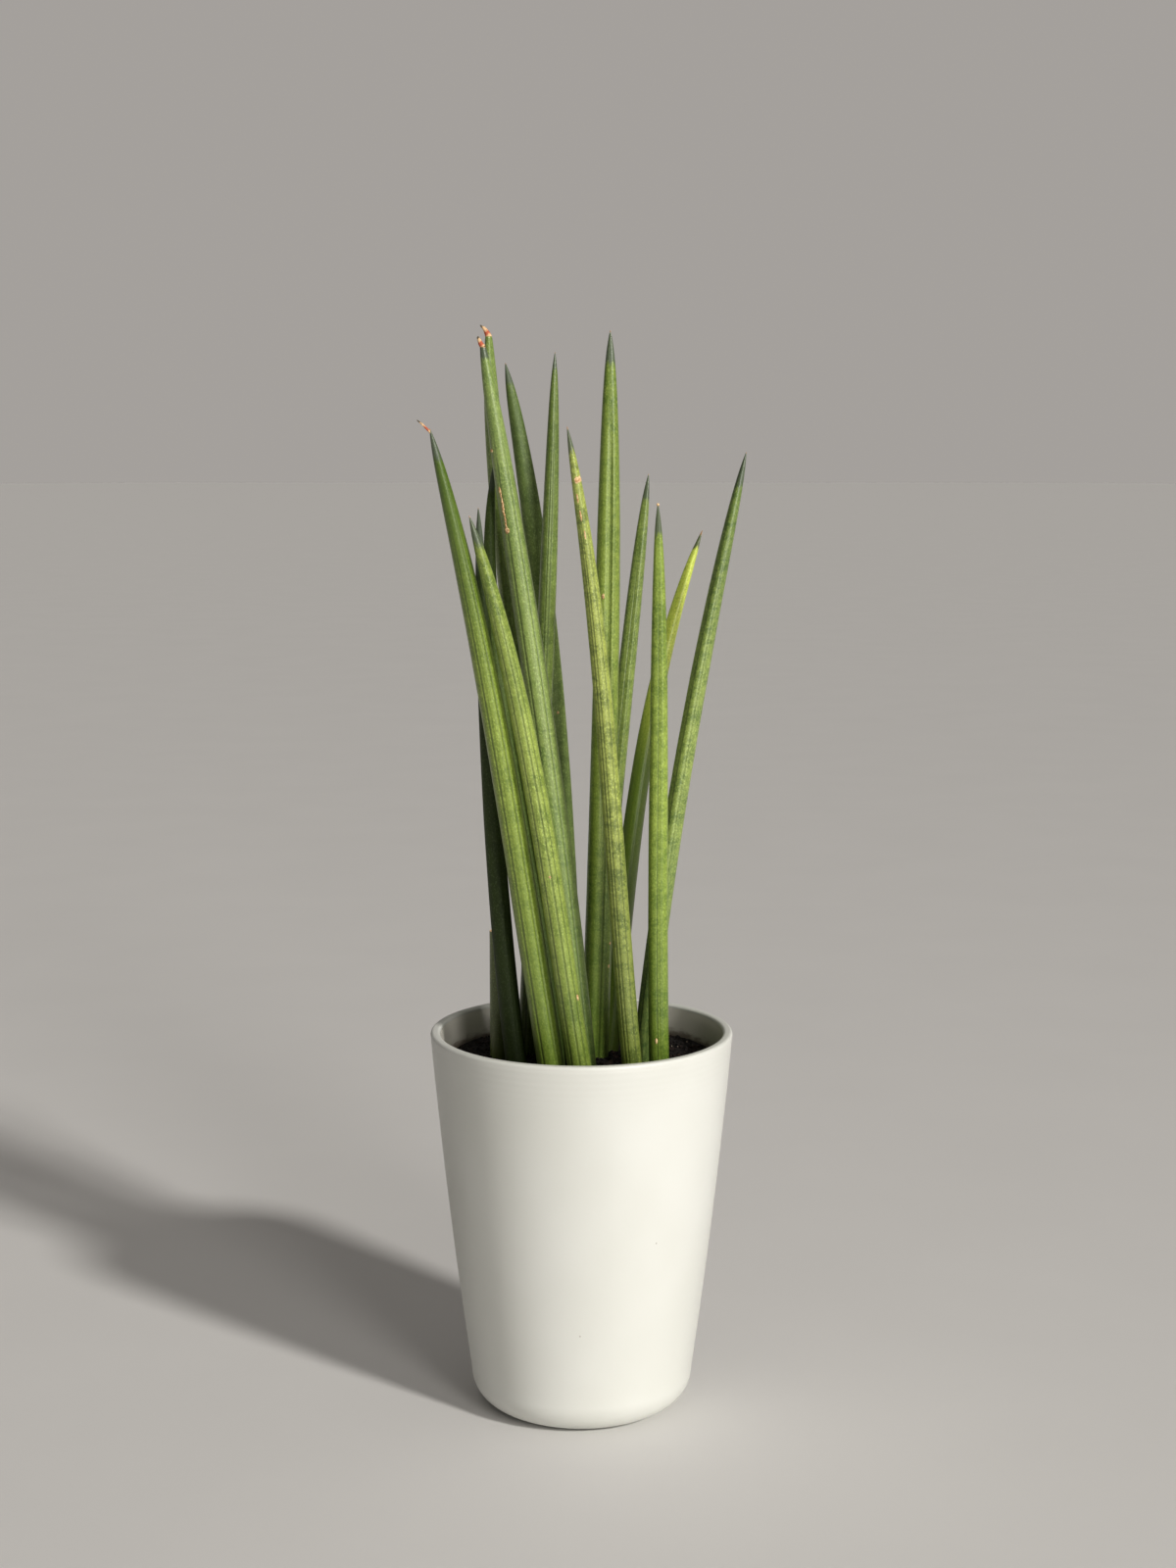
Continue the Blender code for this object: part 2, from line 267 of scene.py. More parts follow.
# How far a crumb stands out of the soil against its thickness, how far it keeps from a leaf against
# its size, how much it leans, in radians, and how uneven it is
CRUMB_RISE = 0.18
CRUMB_CLEARANCE = 0.2
CRUMB_LEAN = 0.22
CRUMB_UNEVENNESS = (0.72, 1.2)

# Distance between the faint turning rings of the glaze
RING_SPACING = 3.0

# Camera, lights and floor
CAMERA_PLACE = (0.003, -1.084, 0.445)
CAMERA_TILT = math.radians(82)
CAMERA_LENS = 55.0
CAMERA_SENSOR = 36.0
KEY_FROM = (1.24, -1.26, 1.04)
KEY_SPREAD = math.radians(6)
KEY_STRENGTH = 2.35
STRIP_FROM = (0.95, -2.10, 0.80)
STRIP_SIZE = (0.45, 1.60)
STRIP_POWER = 6.0
STRIP_SPREAD = math.radians(100)
LAMP_COLOUR = "#fffcf8"
ROOM_COLOUR = "#e8e3de"
BACK_WALL_STRENGTH = 0.475
OTHER_WALLS_STRENGTH = 0.20
UPPER_ROOM_STRENGTH = 0.06
CEILING_STRENGTH = 0.60
TONE_GAMMA = 0.85
FLOOR_RADIUS = 30.0

# Where the parts of the room begin and are in full, as y or z of the direction in which they are seen
BACK_WALL_EDGE = (0.20, 0.88)
WALL_TOP = (0.20, 0.36)
OVERHEAD_EDGE = (0.62, 0.90)

# How a value is turned into another: smoothly at both ends, or evenly
SMOOTH = {"interpolation_type": "SMOOTHSTEP"}
EVEN = {"interpolation_type": "LINEAR"}


def linear(hex_colour):
    """An sRGB hex colour as linear red, green, blue and alpha."""
    parts = [int(hex_colour[place:place + 2], 16) / 255.0 for place in (1, 3, 5)]
    light = [part / 12.92 if part <= 0.04045 else ((part + 0.055) / 1.055) ** 2.4 for part in parts]
    return light + [1.0]


def socket(sockets, name):
    """The socket of this name, or of this identifier where several share a name."""
    return next(one for one in sockets if name in (one.identifier, one.name))


def add(tree, kind, settings, inputs, result):
    """Adds a node with its settings and its inputs, each a value or a socket, and gives its result."""
    node = tree.nodes.new(kind)
    for name, value in settings.items():
        setattr(node, name, value)
    for name, value in inputs.items():
        if isinstance(value, bpy.types.NodeSocket):
            tree.links.new(value, socket(node.inputs, name))
        else:
            socket(node.inputs, name).default_value = value
    return socket(node.outputs, result)


def new_material(name, roughness, ior=1.5):
    """A new material, its node tree and its shader, which starts from these typical values."""
    material = bpy.data.materials.new(name)
    material.use_nodes = True
    shader = material.node_tree.nodes["Principled BSDF"]
    shader.inputs["Roughness"].default_value = roughness
    shader.inputs["IOR"].default_value = ior
    return material, material.node_tree, shader


def brighter(hex_colour, factor, white=0.0):
    """The colour times a factor, with a little white added."""
    return [min(1.0, part * factor + white) for part in linear(hex_colour)[:3]] + [1.0]


def from_to(low, high, result_low=0.0, result_high=1.0):
    """Inputs that turn a value between low and high into one between two results."""
    return {"From Min": low, "From Max": high, "To Min": result_low, "To Max": result_high}


def tinted(tree, under, colour, value, reach, way=SMOOTH):
    """Lays a colour over another; how much of it shows follows a value, as from_to says."""
    share = add(tree, "ShaderNodeMapRange", way, {"Value": value, **reach}, "Result")
    layers = {"Factor_Float": share, "A_Color": under, "B_Color": colour}
    return add(tree, "ShaderNodeMix", {"data_type": "RGBA"}, layers, "Result_Color")


def weighted_sum(tree, terms, total=0.0):
    """The sum of some values, each times its weight, on top of a fixed part."""
    for value, weight in terms:
        inputs = {"Value": value, "Value_001": weight, "Value_002": total}
        total = add(tree, "ShaderNodeMath", {"operation": "MULTIPLY_ADD"}, inputs, "Value")
    return total


def grain(tree, place, size, detail=3.0, shift=(0.0, 0.0, 0.0)):
    """Cloudy noise over a place in millimetres; size is how long its clouds are along x, y and z."""
    inputs = {"Vector": place, "Scale": [1.0 / length for length in size], "Location": shift}
    moved = add(tree, "ShaderNodeMapping", {}, inputs, "Vector")
    return add(tree, "ShaderNodeTexNoise", {}, {"Vector": moved, "Scale": 1.0, "Detail": detail}, "Fac")


def object_millimetres(tree):
    """The place on the object, in millimetres."""
    place = add(tree, "ShaderNodeTexCoord", {}, {}, "Object")
    scale = (1.0 / MM, 1.0 / MM, 1.0 / MM)
    return add(tree, "ShaderNodeMapping", {}, {"Vector": place, "Scale": scale}, "Vector")


def dress(tree, shader, shade, height, depth_mm, strength=1.0):
    """Joins the shader to its finished colour and to a relief of this depth in millimetres."""
    bump = {"Height": height, "Distance": depth_mm * MM, "Strength": strength}
    tree.links.new(add(tree, "ShaderNodeBump", {}, bump, "Normal"), shader.inputs["Normal"])
    tree.links.new(shade, shader.inputs["Base Color"])


def with_point(tree, shade, below_tip, lines, point_length, dry_length):
    """The point of a leaf turns blue-grey along a ragged edge, and its last bit is dry and tan."""
    ragged = weighted_sum(tree, ((below_tip, 1.0), (lines, 0.8 * point_length)), -0.4 * point_length)
    point_edge = from_to(0.80 * point_length, 1.05 * point_length, 0.9, 0.0)
    dry_edge = from_to(0.5 * dry_length, dry_length + 0.4, 0.9, 0.0)
    shade = tinted(tree, shade, linear(POINT_GREY), ragged, point_edge)
    return tinted(tree, shade, linear(DRY_TAN), below_tip, dry_edge)


def leaf_skin(name, look, height, chance):
    """Skin of a snake plant leaf: green with cloudy cross bands, fine lengthwise lines and a pale bloom
    of flecks, a blue-grey point and a dry end. Its wax is a clear coat with a soft, broad shine."""
    green, band_green, band_strength, tip_depth, point_length, dry_length = look
    smoothest, roughest, wax, mirror = DULL_SHINE if name in DULL_LEAVES else WAXY_SHINE
    material, tree, shader = new_material("waxy_leaf_skin_" + name, smoothest, LEAF_IOR)
    place = add(tree, "ShaderNodeAttribute", {"attribute_name": "leaf_mm"}, {}, "Vector")
    furrow = add(tree, "ShaderNodeAttribute", {"attribute_name": "furrow"}, {}, "Fac")
    below_tip = add(tree, "ShaderNodeSeparateXYZ", {}, {"Vector": place}, "Z")
    shift = (chance.uniform(0, 90), chance.uniform(0, 90), chance.uniform(0, 90))
    deep = linear(band_green)
    # Cloudy bands 3 to 8 mm apart that reach part of the way round, broken up by finer mottling
    wide_bands = grain(tree, place, (10.0, 10.0, 5.88), 3.0, shift)
    mottling = grain(tree, place, (2.22, 2.22, 1.613), 4.0, shift)
    bands = weighted_sum(tree, ((wide_bands, 0.6), (mottling, 0.4)))
    shade = tinted(tree, linear(green), deep, bands, from_to(0.42, 0.62, 0.0, band_strength))
    # Lines 0.8 mm wide that run along the leaf
    lines = grain(tree, place, (0.8, 0.8, 83.3), 2.0, shift)
    shade = tinted(tree, shade, deep, lines, from_to(0.50, 0.70, 0.0, 0.08))
    # Lighter stretches some 55 mm long
    stretches = grain(tree, place, (20.0, 20.0, 55.5), 2.0, shift)
    shade = tinted(tree, shade, brighter(green, 1.30), stretches, from_to(0.35, 0.65, 0.0, 0.30))
    # Flecks, dark and pale. Those of the real skin are 0.2 to 0.4 mm; they are drawn about 0.7 mm
    # wide so that they show
    flecks = grain(tree, place, (0.667, 0.667, 0.909), 3.0, shift)
    shade = tinted(tree, shade, deep, flecks, from_to(0.30, 0.46, 0.35, 0.0))
    shade = tinted(tree, shade, brighter(green, 1.60, 0.05), flecks, from_to(0.53, 0.68, 0.0, 0.60))
    # Deeper green towards the tip and at the foot, and painted shade in the furrows
    shade = tinted(tree, shade, deep, below_tip, from_to(10.0, 150.0, tip_depth, 0.0))
    # On the young leaf the foot green is a painted shadow
    start, full, depth = PAINTED_SHADOW_ON_THE_YOUNG_LEAF if name == YOUNG_LEAF else FOOT_GREEN
    shade = tinted(tree, shade, deep, below_tip, from_to(start * height, full * height, 0.0, depth))
    # Painted shade: the furrows darken with their depth
    shade = tinted(tree, shade, linear(FURROW_SHADE), furrow, from_to(0.0, 1.0, 0.0, 0.50), EVEN)
    if point_length:
        shade = with_point(tree, shade, below_tip, lines, point_length, dry_length)
    # Patches about a millimetre wide where the wax is smoother or rougher
    patches = grain(tree, place, (1.11, 1.11, 4.0), 3.0, shift)
    rough = {"Value": patches, **from_to(0.2, 0.8, smoothest, roughest)}
    tree.links.new(add(tree, "ShaderNodeMapRange", SMOOTH, rough, "Result"), shader.inputs["Roughness"])
    dress(tree, shader, shade, weighted_sum(tree, ((lines, 0.15), (flecks, 0.9))), 0.20, 0.8)
    shader.inputs["Specular IOR Level"].default_value = mirror
    shader.inputs["Coat Weight"].default_value = wax
    shader.inputs["Coat Roughness"].default_value = WAX_ROUGHNESS
    return material


def dry_leaf_tip():
    """Dead leaf tip: papery, tan where it meets the living leaf, then rust red, tan again, and
    grey-brown at its end; dull."""
    material, tree, shader = new_material("dry_papery_leaf_tip", 0.75)
    place = object_millimetres(tree)
    dryness = add(tree, "ShaderNodeAttribute", {"attribute_name": "dryness"}, {}, "Fac")
    blotches = grain(tree, place, (1.667, 1.667, 1.667))
    along = weighted_sum(tree, ((dryness, 1.0), (blotches, 0.5)), -0.25)
    shade = tinted(tree, linear("#e6c49a"), linear("#c46c50"), along, from_to(0.06, 0.22))
    shade = tinted(tree, shade, linear("#e6c49a"), along, from_to(0.40, 0.55))
    shade = tinted(tree, shade, linear("#6d6350"), along, from_to(0.68, 0.85))
    dress(tree, shader, shade, grain(tree, place, (0.5, 0.5, 1.0)), 0.15)
    return material


def corky_scab():
    """Healed wound on a leaf: corky, pale tan with browner cracks, and matt."""
    material, tree, shader = new_material("corky_scab", 0.8)
    clouds = grain(tree, object_millimetres(tree), (0.909, 0.909, 0.909))
    inputs = {"Value": clouds, **from_to(0.40, 0.62)}
    cracks = add(tree, "ShaderNodeMapRange", SMOOTH, inputs, "Result")
    shade = tinted(tree, linear("#f2d6a8"), linear("#c08a58"), cracks, from_to(0.0, 1.0, 0.0, 0.7), EVEN)
    dress(tree, shader, shade, cracks, 0.12)
    return material


def satin_glaze():
    """Outside of the pot: satin white glaze on stoneware, faintly warm, with rare pinholes, a slow
    change of tone and soft turning rings under the rim."""
    material, tree, shader = new_material("satin_white_glaze", 0.42)
    place = object_millimetres(tree)
    height = add(tree, "ShaderNodeSeparateXYZ", {}, {"Vector": place}, "Z")
    cloud = grain(tree, place, (55.5, 55.5, 83.3), 2.0)
    shade = tinted(tree, linear("#e3e4df"), linear("#dedfd9"), cloud, from_to(0.3, 0.7))
    # Pinholes under 1 mm wide, at the middle of cells of 22 mm, 0.045 of them a millimetre. They are
    # rare, because few of those middles lie in the skin of the glaze
    cells = add(tree, "ShaderNodeTexVoronoi", {}, {"Vector": place, "Scale": 0.045}, "Distance")
    inputs = {"Value": cells, **from_to(0.012, 0.022, 0.6, 0.0)}
    pinholes = add(tree, "ShaderNodeMapRange", SMOOTH, inputs, "Result")
    shade = tinted(tree, shade, linear("#8d7f6c"), pinholes, from_to(0.0, 1.0), EVEN)
    # Turning rings in the top 25 mm only, and the fine orange peel of the glaze
    angle = weighted_sum(tree, ((height, math.tau / RING_SPACING),))
    rings = add(tree, "ShaderNodeMath", {"operation": "SINE"}, {"Value": angle}, "Value")
    under_the_rim = {"Value": height, **from_to(150.0, 172.0, 0.0, 0.25)}
    fade = add(tree, "ShaderNodeMapRange", SMOOTH, under_the_rim, "Result")
    peel = grain(tree, place, (2.86, 2.86, 2.86), 2.0)
    rough = {"Value": peel, **from_to(0.3, 0.7, 0.40, 0.48)}
    tree.links.new(add(tree, "ShaderNodeMapRange", SMOOTH, rough, "Result"), shader.inputs["Roughness"])
    surface = weighted_sum(tree, ((rings, fade), (peel, 0.35), (pinholes, -0.5)))
    dress(tree, shader, shade, surface, 0.12, 0.5)
    return material


def inner_glaze():
    """Inside of the pot: the same glaze, smoother and glossier, with a faint earth stain just above
    the soil."""
    material, tree, shader = new_material("glossy_white_glaze_inside", 0.2)
    place = object_millimetres(tree)
    height = add(tree, "ShaderNodeSeparateXYZ", {}, {"Vector": place}, "Z")
    smear = grain(tree, place, (6.25, 6.25, 2.5), 4.0)
    edge = weighted_sum(tree, ((height, 1.0), (smear, -6.0)))
    inputs = {"Value": edge, **from_to(SOIL_LEVEL - 3.0, SOIL_LEVEL + 1.2, 0.8, 0.0)}
    stain = add(tree, "ShaderNodeMapRange", SMOOTH, inputs, "Result")
    shade = tinted(tree, linear("#f2efe6"), linear("#6a5442"), stain, from_to(0.0, 1.0), EVEN)
    rough = {"Value": stain, **from_to(0.0, 0.6, 0.22, 0.6)}
    tree.links.new(add(tree, "ShaderNodeMapRange", SMOOTH, rough, "Result"), shader.inputs["Roughness"])
    # Soft upright waves of the glaze some 9 mm apart, which stretch what it mirrors
    waves = grain(tree, place, (9.09, 9.09, 66.7), 2.0)
    dress(tree, shader, shade, waves, 0.10, 0.4)
    return material


def earth(name, dark, light, size):
    """Potting soil or a crumb of it: broken up, damp and matt, dark with lighter worn patches of this
    size in millimetres."""
    material, tree, shader = new_material(name, 0.9)
    place = object_millimetres(tree)
    patches = grain(tree, place, size, 5.0)
    shade = tinted(tree, linear(dark), linear(light), patches, from_to(0.42, 0.66))
    dress(tree, shader, shade, grain(tree, place, (0.455, 0.455, 0.455), 4.0), 0.35)
    return material


def pale_floor():
    """Plain pale floor: matt painted board, one tone with a barely seen grain."""
    material, tree, shader = new_material("pale_painted_board", 0.75)
    cloud = grain(tree, object_millimetres(tree), (111.0, 111.0, 111.0))
    shade = tinted(tree, linear("#dddcda"), linear("#e1e0de"), cloud, from_to(0.0, 1.0), EVEN)
    tree.links.new(shade, shader.inputs["Base Color"])
    return material


def turn_between(first, second):
    """The turn from one direction to another, at most half a turn either way."""
    return (second - first + math.pi) % math.tau - math.pi


def bell(distance, half_width):
    """1 in the middle, and falling smoothly to next to nothing beyond twice the half width."""
    return math.exp(-((distance / half_width) ** 2))


def part_way(ends, share):
    """The value this share of the way from the first end to the second."""
    return ends[0] + (ends[1] - ends[0]) * share


def finish_piece(name, bm, materials, sharp_angle=SHARP_ANGLE):
    """Makes the bmesh, drawn in millimetres, an object of its own in metres."""
    bmesh.ops.scale(bm, vec=(MM, MM, MM), verts=bm.verts)
    bmesh.ops.recalc_face_normals(bm, faces=bm.faces)
    mesh = bpy.data.meshes.new(name)
    bm.to_mesh(mesh)
    bm.free()
    mesh.shade_smooth()
    mesh.set_sharp_from_angle(angle=math.radians(sharp_angle))
    for material in materials:
        mesh.materials.append(material)
    piece = bpy.data.objects.new(name, mesh)
    bpy.context.scene.collection.objects.link(piece)
    return piece


def stand_for(piece, node):
    """The piece takes the place of a node of the frame and rides on the one body."""
    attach(piece, "root")
    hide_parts(node)


def take_in(bm, other):
    """Adds another bmesh to this one."""
    mesh = bpy.data.meshes.new("taken_in")
    other.to_mesh(mesh)
    other.free()
    bm.from_mesh(mesh)
    bpy.data.meshes.remove(mesh)


def wall_radius(height):
    """Outer radius of the pot's wall, which is a little fuller than a straight cone."""
    share = height / POT_HEIGHT
    straight = part_way((FOOT_RADIUS, RIM_RADIUS), share)
    return straight + 4.0 * WALL_BULGE * share * (1.0 - share)


def inner_radius(height):
    return wall_radius(height) - WALL_THICKNESS


def arc(middle_radius, middle_height, radius, start, end, steps):
    """Points (radius, height) on an arc, with angles in degrees from straight outwards."""
    points = []
    for step in range(steps + 1):
        angle = math.radians(start + (end - start) * step / steps)
        out = middle_radius + radius * math.cos(angle)
        points.append((out, middle_height + radius * math.sin(angle)))
    return points


def heights_between(low, high, steps):
    """Heights strictly between low and high, evenly spaced."""
    return [low + (high - low) * step / (steps + 1) for step in range(1, steps + 1)]


def spun(profile, segments):
    """A closed turned body of the profile (radius, height), whose ends lie on the axis."""
    bm = bmesh.new()
    points = [bm.verts.new((radius, 0.0, height)) for radius, height in profile]
    edges = [bm.edges.new(pair) for pair in zip(points, points[1:])]
    turn = {"cent": (0, 0, 0), "axis": (0, 0, 1), "angle": math.tau, "steps": segments}
    bmesh.ops.spin(bm, geom=points + edges, use_merge=True, **turn)
    bmesh.ops.remove_doubles(bm, verts=bm.verts, dist=MERGE_DISTANCE)
    return bm


def pot_profile():
    """The pot's section from the middle of its base, up the outside, over the rim and down inside."""
    foot_middle = wall_radius(FOOT_ROUNDING) - FOOT_ROUNDING
    rim_top = POT_HEIGHT - RIM_ROUNDING
    inner_foot = FLOOR_THICKNESS + INNER_ROUNDING
    inner_foot_middle = inner_radius(inner_foot) - INNER_ROUNDING
    outer_rim_middle = wall_radius(rim_top) - RIM_ROUNDING
    inner_rim_middle = inner_radius(rim_top) + RIM_ROUNDING
    profile = [(0.0, 0.0)]
    profile += arc(foot_middle, FOOT_ROUNDING, FOOT_ROUNDING, -90, 0, FOOT_STEPS)
    profile += [(wall_radius(z), z) for z in heights_between(FOOT_ROUNDING, rim_top, WALL_STEPS)]
    profile += arc(outer_rim_middle, rim_top, RIM_ROUNDING, 0, 90, RIM_STEPS)
    profile += arc(inner_rim_middle, rim_top, RIM_ROUNDING, 90, 180, RIM_STEPS)
    profile += [(inner_radius(z), z) for z in heights_between(rim_top, inner_foot, WALL_STEPS)]
    profile += arc(inner_foot_middle, inner_foot, INNER_ROUNDING, 0, -90, INNER_FOOT_STEPS)
    profile.append((0.0, FLOOR_THICKNESS))
    return profile


def lines_the_pot(face):
    """Whether a face of the pot, with its normal outwards, is on the inner wall or the inner floor."""
    middle = face.calc_center_median()
    faces_the_axis = middle.x * face.normal.x + middle.y * face.normal.y < 0.0
    faces_up = face.normal.z > 0.9
    on_the_wall = faces_the_axis and middle.z < POT_HEIGHT - RIM_ROUNDING
    on_the_floor = faces_up and 0.5 * FLOOR_THICKNESS < middle.z < 0.5 * POT_HEIGHT
    return on_the_wall or on_the_floor


def make_pot():
    bm = spun(pot_profile(), POT_SEGMENTS)
    bmesh.ops.recalc_face_normals(bm, faces=bm.faces)
    for face in bm.faces:
        face.material_index = int(lines_the_pot(face))
    pot = finish_piece("pot_glazed", bm, [satin_glaze(), inner_glaze()])
    stand_for(pot, "pot")


def unevenness(x, y, waves, layer):
    """Smooth noise over the soil, with this many waves a millimetre; each layer is another noise."""
    return noise.noise(Vector((waves * x, waves * y, layer)))


def nearest_leaf(x, y, feet):
    """Distance from a place on the soil to the nearest leaf."""
    return min(math.hypot(x - foot_x, y - foot_y) - radius for foot_x, foot_y, radius in feet)


def soil_height(x, y, feet):
    """The crumbly top of the soil, pressed up a little round the foot of each leaf."""
    swell = SOIL_SWELL * unevenness(x, y, SWELLS_A_MILLIMETRE, 3.0)
    crumble = SOIL_CRUMBLE * unevenness(x, y, CRUMBLES_A_MILLIMETRE, 8.0)
    collar = EARTH_COLLAR * bell(max(nearest_leaf(x, y, feet), 0.0), EARTH_COLLAR_WIDTH)
    return SOIL_LEVEL + swell + crumble + collar


def soil_profile():
    """The soil's section: up the inside of the pot's wall, then in to the middle of the top."""
    floor = FLOOR_THICKNESS + SOIL_CLEARANCE
    foot = floor + INNER_ROUNDING
    foot_middle = inner_radius(foot) - SOIL_CLEARANCE - INNER_ROUNDING
    edge = inner_radius(SOIL_LEVEL) - SOIL_CLEARANCE
    profile = [(0.0, floor)]
    profile += arc(foot_middle, foot, INNER_ROUNDING, -90, 0, INNER_FOOT_STEPS)
    for height in heights_between(foot, SOIL_LEVEL, SOIL_SIDE_STEPS):
        profile.append((inner_radius(height) - SOIL_CLEARANCE, height))
    for ring in range(SOIL_TOP_RINGS + 1):
        profile.append((edge * (1.0 - ring / SOIL_TOP_RINGS), SOIL_LEVEL))
    return profile


def place_on_soil(chance, feet, size):
    """A place on the soil that is clear of the wall and of every leaf."""
    reach = inner_radius(SOIL_LEVEL) - SOIL_CLEARANCE - 0.5 * size
    while True:
        x = chance.uniform(-reach, reach)
        y = chance.uniform(-reach, reach)
        if math.hypot(x, y) <= reach and nearest_leaf(x, y, feet) > CRUMB_CLEARANCE * size:
            return x, y


def add_crumb(bm, chance, feet, kind):
    """One broken crumb, lying half sunk in the soil."""
    _, smallest, largest, thickness, width, material = kind
    size = part_way((smallest, largest), chance.random() ** 2)
    x, y = place_on_soil(chance, feet, size)
    rise = soil_height(x, y, feet) + CRUMB_RISE * size * thickness
    turn = Matrix.Rotation(chance.uniform(0.0, math.tau), 4, "Z")
    pitch = Matrix.Rotation(chance.gauss(0.0, CRUMB_LEAN), 4, "X")
    roll = Matrix.Rotation(chance.gauss(0.0, CRUMB_LEAN), 4, "Y")
    shape = Matrix.Diagonal((0.5 * size, 0.5 * size * width, 0.5 * size * thickness, 1.0))
    made = bmesh.ops.create_icosphere(bm, subdivisions=1, radius=1.0)["verts"]
    for vert in made:
        vert.co *= chance.uniform(*CRUMB_UNEVENNESS)
    place = Matrix.Translation((x, y, rise)) @ turn @ (pitch @ roll) @ shape
    bmesh.ops.transform(bm, matrix=place, verts=made)
    for face in {face for vert in made for face in vert.link_faces}:
        face.material_index = material


def make_soil(feet):
    """Potting soil, with its top covered in crumbs of peat, bark, fibre and a little pumice."""
    bm = spun(soil_profile(), SOIL_SEGMENTS)
    for vert in bm.verts:
        if vert.co.z > SOIL_LEVEL - MERGE_DISTANCE:
            vert.co.z = soil_height(vert.co.x, vert.co.y, feet)
    chance = random.Random("soil")
    for kind in CRUMBS.values():
        left = kind[0]
        while left > 0:
            batch = bmesh.new()
            for _ in range(min(left, CRUMBS_IN_A_BATCH)):
                add_crumb(batch, chance, feet, kind)
            take_in(bm, batch)
            left -= CRUMBS_IN_A_BATCH
    materials = [
        # The peat's dark patches are darker than peat under light: partly its own dark brown, partly
        # painted shade
        earth("damp_peat_soil_and_painted_shade", "#0e0a08", "#231913", (1.43, 1.43, 1.43)),
        earth("bark_chips", "#20130d", "#483325", (1.11, 4.0, 1.11)),
        earth("pumice_grains", "#75675a", "#ada092", (1.25, 1.25, 1.25)),
    ]
    soil = finish_piece("soil_crumbly", bm, materials, SOIL_SHARP_ANGLE)
    stand_for(soil, "soil")


def through_four(points, share):
    """The smooth curve through four evenly spaced points, at a share of its height from 0 to 1."""
    first, second, third, last = (Vector(point) for point in points)
    a = -4.5 * (share - 1 / 3) * (share - 2 / 3) * (share - 1)
    b = 13.5 * share * (share - 2 / 3) * (share - 1)
    c = -13.5 * share * (share - 1 / 3) * (share - 1)
    d = 4.5 * share * (share - 1 / 3) * (share - 2 / 3)
    return first * a + second * b + third * c + last * d


